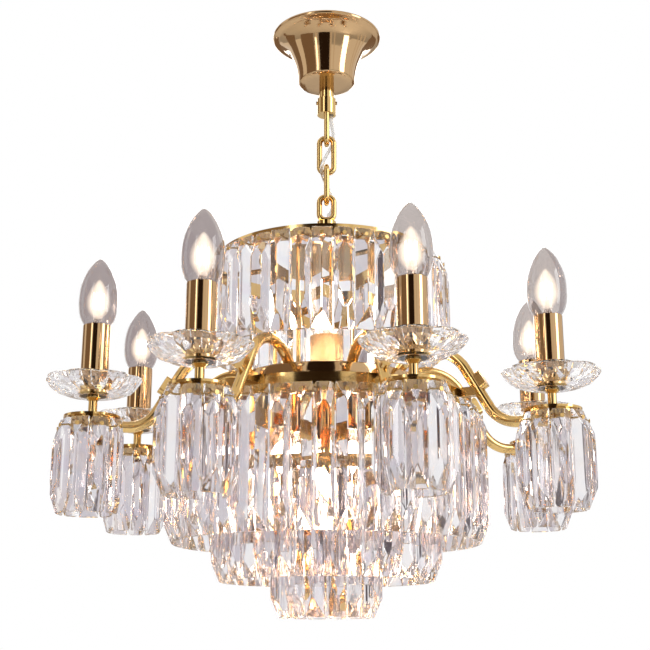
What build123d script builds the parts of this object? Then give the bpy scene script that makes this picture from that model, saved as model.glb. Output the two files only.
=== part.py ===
"""Eight-arm crystal chandelier on a chain under a ceiling canopy. Millimetres, +Z up.

The origin is the centre of the canopy's mouth, on the ceiling, and everything hangs below it.
An azimuth is measured about Z from the front, -Y, towards +X. A piece that repeats round the
axis is modelled once along +X and then turned to its azimuths."""
import os
from math import cos, radians, sin, sqrt, tan

from build123d import *

# clearances
SLIP = 0.1            # between a shank and the hole it passes through
GAP = 0.3             # between curved faces that move on each other
EDGE = 0.05           # between a saddle and the tube it is shaped to
THROUGH = 1.0         # how far a cutting shape runs past what it cuts

# ceiling fixing
STRAP_LENGTH = 92.0
STRAP_WIDTH = 18.0
STRAP_THICK = 2.0
STRAP_DROP = 18.0     # how far the strap's bridge stands below the ceiling
STRAP_FOOT = 15.0
STRAP_SLOPE = 9.0     # run of each slanted leg along X
FIXING_PITCH = 76.0
FIXING_HOLE_R = 2.6
TERMINAL_SIZE = (16.0, 8.0, 12.0)
TERMINAL_Y = 19.0
TERMINAL_TOP = -28.0

# canopy
CANOPY_R = 55.5
CANOPY_RIM_HEIGHT = 4.0
CANOPY_RIM_ROUND = 1.5
CANOPY_STEP_R = 47.0
CANOPY_STEP_DROP = 6.8
CANOPY_BOTTOM_R = 28.8
CANOPY_DEPTH = 54.0
CANOPY_LIP_R = 25.0   # where the bell's bottom turns flat
CANOPY_LIP = 2.5      # height of that turn
CANOPY_WALL = 1.2
# the bell's curve, as shares of the way in from the step and of the way down to the lip
CANOPY_BELL = [(0.78, 0.067), (0.626, 0.1275), (0.396, 0.318), (0.176, 0.564), (0.055, 0.81), (0, 1)]

# threaded tubes and their nuts
NIPPLE_R = 5.0
NIPPLE_BORE_R = 3.6
NIPPLE_TOP = -13.0
NUT_R = 8.6
NUT_HEIGHT = 5.0
STEM_R = 4.0
LOCK_RING_R = 7.6
LOCK_RING_HEIGHT = 16.5

# collar with its eye
COLLAR_R = 9.5
COLLAR_TOP = -71.5
COLLAR_HEIGHT = 17.0
COLLAR_SOCKET = 6.0   # depth of the threaded socket that the nipple enters
COLLAR_FLOOR = 3.5
COLLAR_CAVITY_R = 7.6
SET_SCREW_R = 1.8
SET_SCREW_DROP = 3.6
SET_SCREW_PROUD = 1.2
EYE_WIRE_R = 2.8
EYE_HALF = 6.3        # half the eye's width, on the wire's centre line
EYE_BOTTOM = -123.0
EYE_CORNER = 5.3

# chain
WIRE_R = 2.8
LINK_HALF = 7.2
LINK_LENGTH = 43.3
LINK_CORNER = 6.2
HANGING_RING_HEIGHT = 30.0
SHANK_R = 2.2         # of the hanging ring's threaded end

# cap on top of the chandelier
CAP_R = 9.5
CAP_HEIGHT = 17.0
CAP_SOCKET = 9.0

# supply cable
CABLE_R = 1.8
CABLE_HOLE_R = 2.3
CABLE_BEND = 0.45
CABLE_EXIT_X = 4.6
CABLE_CAP_Y = 6.7
CABLE_CROWN_Y = 15.0
CABLE_PLATE = (3.85, 47.8)

# prisms and the pins that hold them
PRISM_DEPTH = 10.5
PRISM_EDGE = 2.4      # thickness of a prism along its side edges
PRISM_FLAT = 0.66     # share of a flat prism's width that its front face takes
PRISM_BEVEL = 18.0    # height of the bevel at each end
CORNER_WIDTH = 5.0    # corner cut from each end of a flat prism, along its end edge
CORNER_HEIGHT = 9.0   # along its side edge
CORNER_FRONT = 4.0    # along the edge between the bevel and the front face
PRISM_SPACE = 0.5     # between neighbouring prisms at their backs
PRISM_STANDOFF = 2.5  # from a band's face to the prisms' backs
PIN_R = 0.8
PIN_HEAD_R = 1.8
PIN_HEAD = 0.8
PIN_DROP = 7.0        # from a prism's top down to its pin
BAND_THICK = 1.5
BAND_BELOW = 9.0      # how far a band reaches below its prisms' tops
SPOKE_WIDTH = 9.0
SPIDER_THICK = 2.0
HUB_R = 14.0

# the four tiers: how many prisms, radius to their backs, their tops and lengths
UPPER_COUNT = 36
UPPER_R = 108.5
UPPER_TOP = -250.0
UPPER_LENGTH = 94.5
BIG_COUNT = 48
BIG_R = 139.5
BIG_TOP = -398.5
BIG_LENGTH = 122.5
THIRD_COUNT = 32
THIRD_R = 95.5
THIRD_TOP = -455.0
THIRD_LENGTH = 99.6
BOTTOM_COUNT = 14
BOTTOM_R = 40.5
BOTTOM_TOP = -500.0
BOTTOM_LENGTH = 86.3
BAND_ABOVE = 4.5
BIG_BAND_ABOVE = 9.5

# crown and support rods
CROWN_DISC_R = 64.0
CROWN_SPOKES = 4
ROD_COUNT = 4
ROD_CIRCLE_R = 57.0
ROD_R = 2.0
ROD_NUT_R = 3.8
ROD_NUT_HEIGHT = 3.0
ROD_PROUD = 1.0       # how far a rod or a stem stands out of its nut

# main plate and the column under it
PLATE_R = 86.0
PLATE_TOP = -367.0
PLATE_HEIGHT = 11.0
PLATE_WALL = 1.2
COVER_THICK = 1.5
TUBE_TOP = -358.0
TUBE_BOTTOM = -562.0
FINIAL_R = 9.0
FINIAL_NECK_R = 6.5
FINIAL_NECK = 2.0     # how far the neck stands above the ball
SPIDER_SPOKES = 3
SPIDER_AZIMUTH = 10.0

# arms
ARM_COUNT = 8
ARM_FIRST = -27.1     # azimuth of arm_1
ARM_R = 5.0
ARM_BORE_R = 3.7
ARM_REACH = 219.0
ARCH_R = 40.0
ARCH_APEX_R = 106.0
ARCH_APEX_Z = -349.8
ARCH_ROOT_ANGLE = 155.0
ARM_SLOPE = 60.0
DIP_R = 30.0
ARM_LOW = -422.0
TIP_R = 6.0
SPIGOT_R = 3.3
SPIGOT_BORE_R = 2.0
SPIGOT_TOP = -386.0
CLIP_WIDTH = 9.0
CLIP_TOP = -387.5
CLIP_HEIGHT = 8.0
CLAMP_LENGTH = 18.0
CLAMP_WIDTH = 8.0
CLAMP_REACH = 9.6     # from the arm's axis to the clamp's outer face
CLAMP_Z = -385.0

# candles
SLEEVE_R = 12.5
SLEEVE_WALL = 1.0
SLEEVE_TOP = -331.0
HOLDER_R = 11.2
HOLDER_RECESS = 3.0   # from a sleeve's top down to its lampholder
SOCKET_R = 7.6
SOCKET_DEPTH = 26.0
BULB_R = 17.8
BULB_CAP_R = 7.0
BULB_NECK_R = 10.8
BULB_HEIGHT = 64.5    # from the sleeve's top to the bulb's tip
BULB_TIP_R = 1.2
BULB_CHAMFER = (2.0, 3.0)
# a lamp's glass as shares of its radius and of its height: widest, shoulder, and half way to the tip
BULB_WIDEST = 0.38
BULB_SHOULDER = (0.84, 0.68)
BULB_TAPER = (0.5, 0.88)
DISH_R = 43.5
DISH_RIM = -379.5
DISH_RIM_ROUND = 2.0
DISH_BOTTOM = -396.5
DISH_WALL = 3.5
DISH_FOOT_R = 17.0
DISH_KNEE = (0.82, 0.4)   # where a dish turns up, as shares of its radius and height
FERRULE_R = 3.9
FERRULE_FLARE_R = 6.5
FERRULE_FLARE = 3.0
FERRULE_RIM = 1.0

# pendants under the candles
PENDANT_PLACES = 9    # the place on the arm's side stays empty
PENDANT_R = 23.5
PENDANT_TOP = -418.0
PENDANT_LENGTH = 82.5
PENDANT_DISC_R = 25.0
PENDANT_DISC = 2.0
PENDANT_SLOT = 13.0

# lamps inside
CENTRE_SLEEVE_R = 16.0
CENTRE_SLEEVE_TOP = -323.0
INNER_HOLDER_R = 13.5
DOWN_COUNT = 3
DOWN_AZIMUTH = -50.0
DOWN_R = 45.0
DOWN_MOUTH = -416.0   # level of the down lamps' holder mouths

# sizes that follow from the ones above
STRAP_BOTTOM = -STRAP_DROP - STRAP_THICK
COLLAR_BOTTOM = COLLAR_TOP - COLLAR_HEIGHT
EYE_AXIS_Z = EYE_BOTTOM + EYE_WIRE_R
LINK_1_TOP = EYE_AXIS_Z + EYE_WIRE_R + GAP + 2 * WIRE_R
LINK_1_BOTTOM = LINK_1_TOP - LINK_LENGTH
LINK_2_TOP = LINK_1_BOTTOM + 4 * WIRE_R + GAP
LINK_2_BOTTOM = LINK_2_TOP - LINK_LENGTH
HANGING_RING_TOP = LINK_2_BOTTOM + 4 * WIRE_R + GAP
CAP_TOP = HANGING_RING_TOP - HANGING_RING_HEIGHT
CAP_BOTTOM = CAP_TOP - CAP_HEIGHT
CROWN_TOP = UPPER_TOP + BAND_ABOVE
CROWN_UNDER = CROWN_TOP - SPIDER_THICK
PLATE_BOTTOM = PLATE_TOP - PLATE_HEIGHT
ARCH_CENTRE_Z = ARCH_APEX_Z - ARCH_R
SLOPE_START_R = ARCH_APEX_R + ARCH_R * sin(radians(ARM_SLOPE))
SLOPE_START_Z = ARCH_CENTRE_Z + ARCH_R * cos(radians(ARM_SLOPE))
SLOPE_DROP = SLOPE_START_Z - ARM_LOW - DIP_R * (1 - cos(radians(ARM_SLOPE)))
SLOPE_END_R = SLOPE_START_R + SLOPE_DROP / tan(radians(ARM_SLOPE))
DIP_END_R = SLOPE_END_R + DIP_R * sin(radians(ARM_SLOPE))
HUB_SEAT = ARM_LOW + TIP_R
DISH_FLOOR = DISH_BOTTOM + DISH_WALL
PRISM_RUN = PRISM_DEPTH - PRISM_EDGE
BIG_BAND_R = BIG_R - PRISM_STANDOFF
THIRD_SPIDER_TOP = THIRD_TOP + BAND_ABOVE
BOTTOM_SPIDER_TOP = BOTTOM_TOP + BAND_ABOVE


def turned(azimuth):
    """Rotation that takes +X to an azimuth."""
    return Rot(0, 0, azimuth - 90)


def round_the_axis(shape, count, first=0.0):
    """Copies of a shape modelled along +X, spaced evenly about Z."""
    return [turned(first + 360 / count * i) * shape for i in range(count)]


def arm_azimuths():
    return [ARM_FIRST + 360 / ARM_COUNT * i for i in range(ARM_COUNT)]


def disc(radius, bottom, top):
    """Solid cylinder on the axis between two levels."""
    return Pos(0, 0, (bottom + top) / 2) * Cylinder(radius, top - bottom)


def tube(outer, inner, bottom, top):
    return disc(outer, bottom, top) - disc(inner, bottom - THROUGH, top + THROUGH)


def hex_nut(radius, bore, bottom, height):
    body = Pos(0, 0, bottom) * extrude(RegularPolygon(radius, 6), height)
    return body - disc(bore, bottom - THROUGH, bottom + height + THROUGH)


def turned_solid(outline):
    """Revolve a closed outline of (radius, z) points about Z."""
    face = Plane.XZ * make_face(Polyline(*outline, close=True))
    return revolve(face, Axis.Z)


def save(name, shape):
    """Write one node. A list becomes a group of separate solids."""
    if isinstance(shape, list):
        solids = [solid for part in shape for solid in part.solids()]
        shape = Compound(children=solids)
    export_step(shape, f"parts/{name}.step")


# ---------------------------------------------------------------- ceiling fixing
def ceiling_strap():
    """Hat-shaped strap: two feet on the ceiling and a bridge that carries the nipple."""
    half = STRAP_LENGTH / 2
    foot = half - STRAP_FOOT
    bridge = foot - STRAP_SLOPE
    t = STRAP_THICK
    upper = [(half, 0), (foot, 0), (bridge, -STRAP_DROP), (-bridge, -STRAP_DROP), (-foot, 0), (-half, 0)]
    lower = [(-half, -t), (-foot - t, -t), (-bridge - t, STRAP_BOTTOM)]
    lower += [(bridge + t, STRAP_BOTTOM), (foot + t, -t), (half, -t)]
    outline = Plane.XZ * make_face(Polyline(*upper, *lower, close=True))
    strap = extrude(outline, STRAP_WIDTH / 2, both=True)
    strap -= disc(NIPPLE_R + SLIP, STRAP_BOTTOM - THROUGH, 0)
    for x in (-FIXING_PITCH / 2, FIXING_PITCH / 2):
        strap -= Pos(x, 0, 0) * disc(FIXING_HOLE_R, -t - THROUGH, THROUGH)
    return strap


def canopy_outline():
    """Bell profile from the mouth to the bottom edge."""
    bell_width = CANOPY_STEP_R - CANOPY_BOTTOM_R
    bell_height = CANOPY_DEPTH - CANOPY_LIP - CANOPY_STEP_DROP
    outline = [
        (CANOPY_R - CANOPY_RIM_ROUND, 0),
        (CANOPY_R, -CANOPY_RIM_ROUND),
        (CANOPY_R, CANOPY_RIM_ROUND - CANOPY_RIM_HEIGHT),
        (CANOPY_R - CANOPY_RIM_ROUND, -CANOPY_RIM_HEIGHT),
        (CANOPY_STEP_R, -CANOPY_STEP_DROP),
    ]
    for width, drop in CANOPY_BELL:
        outline.append((CANOPY_BOTTOM_R + width * bell_width, -CANOPY_STEP_DROP - drop * bell_height))
    return outline + [(CANOPY_LIP_R, -CANOPY_DEPTH)]


def canopy():
    hole = NIPPLE_R + SLIP
    floor = CANOPY_WALL - CANOPY_DEPTH
    outer = canopy_outline()
    inner = [(radius - CANOPY_WALL, min(z + CANOPY_WALL, 0)) for radius, z in outer]
    return turned_solid(outer + [(hole, -CANOPY_DEPTH), (hole, floor)] + inner[::-1])


def canopy_nipple():
    return tube(NIPPLE_R, NIPPLE_BORE_R, COLLAR_TOP - COLLAR_SOCKET, NIPPLE_TOP)


def loop_collar():
    """Collar on the nipple, with a cable hole and an eye that the chain hangs from."""
    collar = disc(COLLAR_R, COLLAR_BOTTOM, COLLAR_TOP)
    socket_floor = COLLAR_TOP - COLLAR_SOCKET
    collar -= disc(NIPPLE_R + SLIP, socket_floor, COLLAR_TOP + THROUGH)
    collar -= disc(COLLAR_CAVITY_R, COLLAR_BOTTOM + COLLAR_FLOOR, socket_floor + EDGE)
    collar -= Pos(CABLE_EXIT_X, 0, 0) * disc(CABLE_HOLE_R + GAP, COLLAR_BOTTOM - THROUGH, socket_floor)
    for side in (-1, 1):
        screw_hole = Rot(0, 90, 0) * Cylinder(SET_SCREW_R + SLIP, COLLAR_R)
        collar -= Pos(side * (COLLAR_R / 2 + NIPPLE_R), 0, COLLAR_TOP - SET_SCREW_DROP) * screw_hole
    return collar + eye()


def eye():
    """U-shaped eye in the YZ plane, with a short straight bottom on the first hinge's axis."""
    root = COLLAR_BOTTOM + COLLAR_FLOOR / 2
    path = FilletPolyline(
        (0, EYE_HALF, root),
        (0, EYE_HALF, EYE_AXIS_Z),
        (0, -EYE_HALF, EYE_AXIS_Z),
        (0, -EYE_HALF, root),
        radius=EYE_CORNER,
    )
    section = Plane(origin=path @ 0, z_dir=path % 0) * Circle(EYE_WIRE_R)
    return sweep(section, path=path)


def collar_screws():
    screws = []
    for side in (-1, 1):
        inner = NIPPLE_R + SLIP
        outer = COLLAR_R + SET_SCREW_PROUD
        screw = Rot(0, 90, 0) * Cylinder(SET_SCREW_R, outer - inner)
        screws.append(Pos(side * (inner + outer) / 2, 0, COLLAR_TOP - SET_SCREW_DROP) * screw)
    return screws


def terminal_block():
    width, depth, height = TERMINAL_SIZE
    return Pos(0, TERMINAL_Y, TERMINAL_TOP - height / 2) * Box(width, depth, height)


# ---------------------------------------------------------------- chain
def wire_loop(top, height, plane):
    """Closed loop of wire with rounded corners and a short straight piece at each end."""
    centre_height = height - 2 * WIRE_R
    outline = RectangleRounded(2 * LINK_HALF, centre_height, LINK_CORNER).wire()
    path = Pos(0, 0, top - height / 2) * (plane * outline)
    pieces = [sweep(Plane(origin=e @ 0, z_dir=e % 0) * Circle(WIRE_R), path=e) for e in path.edges()]
    loop = pieces[0]
    for piece in pieces[1:]:
        loop += piece
    return loop


def chain_link_1():
    return wire_loop(LINK_1_TOP, LINK_LENGTH, Plane.XZ)


def chain_link_2():
    return wire_loop(LINK_2_TOP, LINK_LENGTH, Plane.YZ)


def hanging_ring():
    """Loop on top of the chandelier, with the shank that screws into the cap."""
    ring = wire_loop(HANGING_RING_TOP, HANGING_RING_HEIGHT, Plane.XZ)
    return ring + disc(SHANK_R, CAP_BOTTOM + CAP_SOCKET, CAP_TOP + WIRE_R)


# ---------------------------------------------------------------- top of the chandelier
def top_cap():
    cap = disc(CAP_R, CAP_BOTTOM, CAP_TOP)
    cap -= disc(STEM_R + SLIP, CAP_BOTTOM - THROUGH, CAP_BOTTOM + CAP_SOCKET)
    cap -= disc(SHANK_R + SLIP, CAP_BOTTOM, CAP_TOP + THROUGH)
    return cap - Pos(0, CABLE_CAP_Y, 0) * disc(CABLE_HOLE_R + SLIP, CAP_BOTTOM - THROUGH, CAP_TOP + THROUGH)


def crown_stem():
    bottom = CROWN_UNDER - NUT_HEIGHT - ROD_PROUD
    return disc(STEM_R, bottom, CAP_BOTTOM + CAP_SOCKET)


def band(prism_back_r, prism_top, above, count, first):
    """Upright band behind a tier, with a hole for each pin."""
    outer = prism_back_r - PRISM_STANDOFF
    ring = tube(outer, outer - BAND_THICK, prism_top - BAND_BELOW, prism_top + above)
    hole = Rot(0, 90, 0) * Cylinder(PIN_R + SLIP, 4 * BAND_THICK)
    hole = Pos(outer - BAND_THICK / 2, 0, prism_top - PIN_DROP) * hole
    return ring - round_the_axis(hole, count, first)


def spokes(inner_r, outer_r, top, count, first):
    length = outer_r - inner_r
    bar = Pos((inner_r + outer_r) / 2, 0, top - SPIDER_THICK / 2) * Box(length, SPOKE_WIDTH, SPIDER_THICK)
    return round_the_axis(bar, count, first)


def crown_frame():
    """Band, four spokes and the disc that the rods and the stem hang from."""
    frame = band(UPPER_R, UPPER_TOP, BAND_ABOVE, UPPER_COUNT, tier_first(UPPER_COUNT))
    band_inner = UPPER_R - PRISM_STANDOFF - BAND_THICK
    for bar in spokes(CROWN_DISC_R - THROUGH, band_inner + EDGE, CROWN_TOP, CROWN_SPOKES, ARM_FIRST):
        frame += bar
    frame += disc(CROWN_DISC_R, CROWN_UNDER, CROWN_TOP)
    low = CROWN_UNDER - THROUGH
    high = CROWN_TOP + THROUGH
    frame -= disc(STEM_R + SLIP, low, high)
    frame -= Pos(0, CABLE_CROWN_Y, 0) * disc(CABLE_HOLE_R, low, high)
    rod_hole = Pos(ROD_CIRCLE_R, 0, 0) * disc(ROD_R + SLIP, low, high)
    return frame - round_the_axis(rod_hole, ROD_COUNT, ARM_FIRST)


def support_rods():
    bottom = PLATE_TOP - PLATE_WALL - ROD_NUT_HEIGHT - ROD_PROUD
    top = CROWN_TOP + ROD_NUT_HEIGHT + ROD_PROUD
    rod = Pos(ROD_CIRCLE_R, 0, 0) * disc(ROD_R, bottom, top)
    return round_the_axis(rod, ROD_COUNT, ARM_FIRST)


def rod_nuts():
    nuts = []
    for bottom in (
        CROWN_TOP,
        CROWN_UNDER - ROD_NUT_HEIGHT,
        PLATE_TOP,
        PLATE_TOP - PLATE_WALL - ROD_NUT_HEIGHT,
    ):
        nut = Pos(ROD_CIRCLE_R, 0, 0) * hex_nut(ROD_NUT_R, ROD_R + SLIP, bottom, ROD_NUT_HEIGHT)
        nuts += round_the_axis(nut, ROD_COUNT, ARM_FIRST)
    return nuts


def frame_nuts():
    """Nuts on the stem and on the centre tube, above and below what they clamp."""
    stem_bore = STEM_R + SLIP
    tube_bore = NIPPLE_R + SLIP
    stem_nuts = [
        hex_nut(NUT_R, stem_bore, CROWN_TOP, NUT_HEIGHT),
        hex_nut(NUT_R, stem_bore, CROWN_UNDER - NUT_HEIGHT, NUT_HEIGHT),
    ]
    bottoms = [
        PLATE_TOP - PLATE_WALL - NUT_HEIGHT,
        PLATE_BOTTOM - NUT_HEIGHT,
        THIRD_SPIDER_TOP,
        THIRD_SPIDER_TOP - SPIDER_THICK - NUT_HEIGHT,
        BOTTOM_SPIDER_TOP,
        BOTTOM_SPIDER_TOP - SPIDER_THICK - NUT_HEIGHT,
    ]
    return stem_nuts + [hex_nut(NUT_R, tube_bore, bottom, NUT_HEIGHT) for bottom in bottoms]


# ---------------------------------------------------------------- prisms
def tier_first(count):
    """First azimuth of a tier, so that an arm stands between two prisms."""
    return ARM_FIRST + 180 / count


def prism_width(back_r, count):
    return 2 * back_r * tan(radians(180 / count)) - PRISM_SPACE


def cut_ends(body, length):
    """Bevel the front of both ends, from the side edge's depth back to the full depth."""
    for z, up in ((0, 1), (-length, -1)):
        plane = Plane(origin=(PRISM_EDGE, 0, z), z_dir=(PRISM_BEVEL, 0, up * PRISM_RUN))
        body = split(body, bisect_by=plane, keep=Keep.BOTTOM)
    return body


def cut_corners(body, length, half, front):
    """Cut the four end corners of a flat prism with planes that slope back from its front."""
    drop = PRISM_BEVEL + CORNER_FRONT * CORNER_HEIGHT / CORNER_WIDTH - CORNER_HEIGHT
    lean = CORNER_WIDTH * drop + CORNER_HEIGHT * (half - front)
    for z, up in ((0, 1), (-length, -1)):
        for side in (-1, 1):
            corner = Plane(
                origin=(PRISM_EDGE, side * half, z - up * CORNER_HEIGHT),
                z_dir=(lean, side * CORNER_HEIGHT * PRISM_RUN, up * CORNER_WIDTH * PRISM_RUN),
            )
            body = split(body, bisect_by=corner, keep=Keep.BOTTOM)
    return body


def ridge_prism(width, length):
    """Strip of three-sided look: its back at X = 0, its ridge at the front, its top at Z = 0."""
    half = width / 2
    outline = [(0, -half), (PRISM_EDGE, -half), (PRISM_DEPTH, 0), (PRISM_EDGE, half), (0, half)]
    body = extrude(make_face(Polyline(*outline, close=True)), -length)
    return cut_ends(body, length) - pin_hole()


def flat_prism(width, length):
    """Strip with a flat front and sloping sides, and its end corners cut."""
    half = width / 2
    front = half * PRISM_FLAT
    outline = [(0, -half), (PRISM_EDGE, -half), (PRISM_DEPTH, -front)]
    outline += [(PRISM_DEPTH, front), (PRISM_EDGE, half), (0, half)]
    body = extrude(make_face(Polyline(*outline, close=True)), -length)
    return cut_corners(cut_ends(body, length), length, half, front) - pin_hole()


def pin_hole():
    hole = Rot(0, 90, 0) * Cylinder(PIN_R + GAP, 4 * PRISM_DEPTH)
    return Pos(0, 0, -PIN_DROP) * hole


def pin():
    """Brass pin through a band and a prism, with a head at each end, the outer one on the bevel."""
    inner = -PRISM_STANDOFF - BAND_THICK - SLIP
    outer = PRISM_EDGE + PRISM_RUN * (PIN_DROP + PIN_HEAD_R) / PRISM_BEVEL + SLIP
    shank = Rot(0, 90, 0) * Cylinder(PIN_R, outer - inner)
    head = Rot(0, 90, 0) * Cylinder(PIN_HEAD_R, PIN_HEAD)
    body = Pos((inner + outer) / 2, 0, 0) * shank
    body += Pos(inner - PIN_HEAD / 2, 0, 0) * head
    body += Pos(outer + PIN_HEAD / 2, 0, 0) * head
    return Pos(0, 0, -PIN_DROP) * body


def tier(count, back_r, top, length):
    """Ridge and flat prisms in turn, all round a band."""
    width = prism_width(back_r, count)
    shapes = [ridge_prism(width, length), flat_prism(width, length)]
    place = Pos(back_r, 0, top)
    first = tier_first(count)
    return [turned(first + 360 / count * i) * (place * shapes[i % 2]) for i in range(count)]


def tier_pins(count, back_r, top):
    return round_the_axis(Pos(back_r, 0, top) * pin(), count, tier_first(count))


def prism_pins():
    pins = tier_pins(UPPER_COUNT, UPPER_R, UPPER_TOP)
    pins += tier_pins(BIG_COUNT, BIG_R, BIG_TOP)
    pins += tier_pins(THIRD_COUNT, THIRD_R, THIRD_TOP)
    pins += tier_pins(BOTTOM_COUNT, BOTTOM_R, BOTTOM_TOP)
    pins += at_candles([turn * (Pos(PENDANT_R, 0, PENDANT_TOP) * pin()) for turn in pendant_turns()])
    return pins


# ---------------------------------------------------------------- plate and column
def arch_path():
    sweep_angle = (90 - ARM_SLOPE) - ARCH_ROOT_ANGLE
    return Plane.XZ * CenterArc((ARCH_APEX_R, ARCH_CENTRE_Z), ARCH_R, ARCH_ROOT_ANGLE, sweep_angle)


def arch_void():
    path = arch_path()
    section = Plane(origin=path @ 0, z_dir=path % 0) * Circle(ARM_R + GAP)
    return sweep(section, path=path)


def main_plate():
    """Pan that the arms, the rods, the column and the centre lamp are fastened to."""
    plate = disc(PLATE_R, PLATE_BOTTOM, PLATE_TOP)
    plate -= disc(PLATE_R - PLATE_WALL, PLATE_BOTTOM - THROUGH, PLATE_TOP - PLATE_WALL)
    low = PLATE_TOP - PLATE_WALL - THROUGH
    high = PLATE_TOP + THROUGH
    plate -= disc(NIPPLE_R + SLIP, low, high)
    plate -= Pos(*CABLE_PLATE, 0) * disc(CABLE_HOLE_R, low, high)
    rod_hole = Pos(ROD_CIRCLE_R, 0, 0) * disc(ROD_R + SLIP, low, high)
    plate -= round_the_axis(rod_hole, ROD_COUNT, ARM_FIRST)
    return plate - round_the_axis(arch_void(), ARM_COUNT, ARM_FIRST)


def plate_cover():
    cover = disc(PLATE_R - PLATE_WALL - SLIP, PLATE_BOTTOM, PLATE_BOTTOM + COVER_THICK)
    return cover - disc(NIPPLE_R + SLIP, PLATE_BOTTOM - THROUGH, PLATE_BOTTOM + COVER_THICK + THROUGH)


def centre_tube():
    return tube(NIPPLE_R, NIPPLE_BORE_R, TUBE_BOTTOM, TUBE_TOP)


def finial():
    """Turned ball nut that closes the column's lower end."""
    centre = TUBE_BOTTOM
    neck_top = centre + FINIAL_R + FINIAL_NECK
    neck_z = centre + sqrt(FINIAL_R**2 - FINIAL_NECK_R**2)
    bore = NIPPLE_R + SLIP
    low = (0, centre - FINIAL_R)
    shoulder = (FINIAL_NECK_R, neck_z)
    ball = ThreePointArc(low, (FINIAL_R, centre), shoulder)
    rest = Polyline(shoulder, (FINIAL_NECK_R, neck_top), (bore, neck_top), (bore, centre), (0, centre), low)
    return revolve(Plane.XZ * make_face([ball, rest]), Axis.Z)


def spider_ring(count, back_r, top):
    """Band with a hub and spokes that clamp on the centre tube."""
    ring = band(back_r, top, BAND_ABOVE, count, tier_first(count))
    level = top + BAND_ABOVE
    inner = back_r - PRISM_STANDOFF - BAND_THICK
    for bar in spokes(HUB_R - THROUGH, inner + EDGE, level, SPIDER_SPOKES, SPIDER_AZIMUTH):
        ring += bar
    ring += disc(HUB_R, level - SPIDER_THICK, level)
    return ring - disc(NIPPLE_R + SLIP, level - SPIDER_THICK - THROUGH, level + THROUGH)


def big_ring():
    return band(BIG_R, BIG_TOP, BIG_BAND_ABOVE, BIG_COUNT, tier_first(BIG_COUNT))


# ---------------------------------------------------------------- arms
def arm_path():
    arch = arch_path()
    slope = Plane.XZ * Line(
        (SLOPE_START_R, SLOPE_START_Z),
        (SLOPE_END_R, SLOPE_START_Z - SLOPE_DROP),
    )
    dip = Plane.XZ * CenterArc((DIP_END_R, ARM_LOW + DIP_R), DIP_R, 270 - ARM_SLOPE, ARM_SLOPE)
    flat = Plane.XZ * Line((DIP_END_R, ARM_LOW), (ARM_REACH - TIP_R, ARM_LOW))
    tip = Plane.XZ * CenterArc((ARM_REACH - TIP_R, ARM_LOW + TIP_R), TIP_R, 270, 90)
    return Wire([e for part in (arch, slope, dip, flat, tip) for e in part.edges()])


def arm_rod(radius):
    path = arm_path()
    section = Plane(origin=path @ 0, z_dir=path % 0) * Circle(radius)
    return sweep(section, path=path)


def arm():
    """S-shaped tube from the plate to a candle, with the threaded spigot on its end."""
    body = arm_rod(ARM_R) - arm_rod(ARM_BORE_R)
    plug = Pos(ARM_REACH, 0, 0) * tube((ARM_R + ARM_BORE_R) / 2, SPIGOT_BORE_R, HUB_SEAT - THROUGH, HUB_SEAT)
    spigot = Pos(ARM_REACH, 0, 0) * tube(SPIGOT_R, SPIGOT_BORE_R, HUB_SEAT, SPIGOT_TOP)
    return body + plug + spigot


def slope_radius(z):
    """Radius of the arm's axis on its straight slope, at height z."""
    return SLOPE_START_R + (SLOPE_START_Z - z) / tan(radians(ARM_SLOPE))


def ring_clips():
    """Blocks that join the big ring to the arms, shaped to both."""
    centre_z = CLIP_TOP - CLIP_HEIGHT / 2
    outer = slope_radius(centre_z)
    inner = BIG_BAND_R - BAND_THICK
    block = Pos((inner + outer) / 2, 0, centre_z) * Box(outer - inner, CLIP_WIDTH, CLIP_HEIGHT)
    block -= disc(BIG_BAND_R + EDGE, CLIP_TOP - 2 * CLIP_HEIGHT, CLIP_TOP + CLIP_HEIGHT)
    block -= arm_rod(ARM_R + EDGE)
    block = max(block.solids(), key=lambda solid: solid.volume)
    return round_the_axis(block, ARM_COUNT, ARM_FIRST)


def arm_clamps():
    """Round-ended saddle pressed on the outside of each arm, opposite its ring clip."""
    pad = extrude(SlotOverall(CLAMP_LENGTH, CLAMP_WIDTH), CLAMP_REACH)
    pad = Pos(slope_radius(CLAMP_Z), 0, CLAMP_Z) * (Rot(0, ARM_SLOPE, 0) * pad)
    pad -= arm_rod(ARM_R + EDGE)
    pad = max(pad.solids(), key=lambda solid: solid.bounding_box().max.X)
    return round_the_axis(pad, ARM_COUNT, ARM_FIRST)


# ---------------------------------------------------------------- candles
def at_candles(shapes):
    """Shapes modelled on the Z axis, set on every candle's axis with +X pointing outwards."""
    return [turned(a) * (Pos(ARM_REACH, 0, 0) * s) for a in arm_azimuths() for s in shapes]


def bulb():
    """Candle lamp with its neck at Z = 0: the cap below, the glass above."""
    chamfer_width, chamfer_height = BULB_CHAMFER
    cap_bottom = -HOLDER_RECESS - SOCKET_DEPTH
    cap_top = GAP - HOLDER_RECESS
    shoulder = (BULB_SHOULDER[0] * BULB_R, BULB_SHOULDER[1] * BULB_HEIGHT)
    taper = (BULB_TAPER[0] * BULB_R, BULB_TAPER[1] * BULB_HEIGHT)
    neck = (BULB_NECK_R, 0)
    tip = (BULB_TIP_R, BULB_HEIGHT)
    side = ThreePointArc(neck, (BULB_R, BULB_WIDEST * BULB_HEIGHT), shoulder)
    point = ThreePointArc(shoulder, taper, tip)
    closing = Polyline(
        tip, (0, BULB_HEIGHT), (0, cap_bottom), (BULB_CAP_R - chamfer_width, cap_bottom),
        (BULB_CAP_R, cap_bottom + chamfer_height), (BULB_CAP_R, cap_top), neck,
    )
    return revolve(Plane.XZ * make_face([side, point, closing]), Axis.Z)


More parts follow.
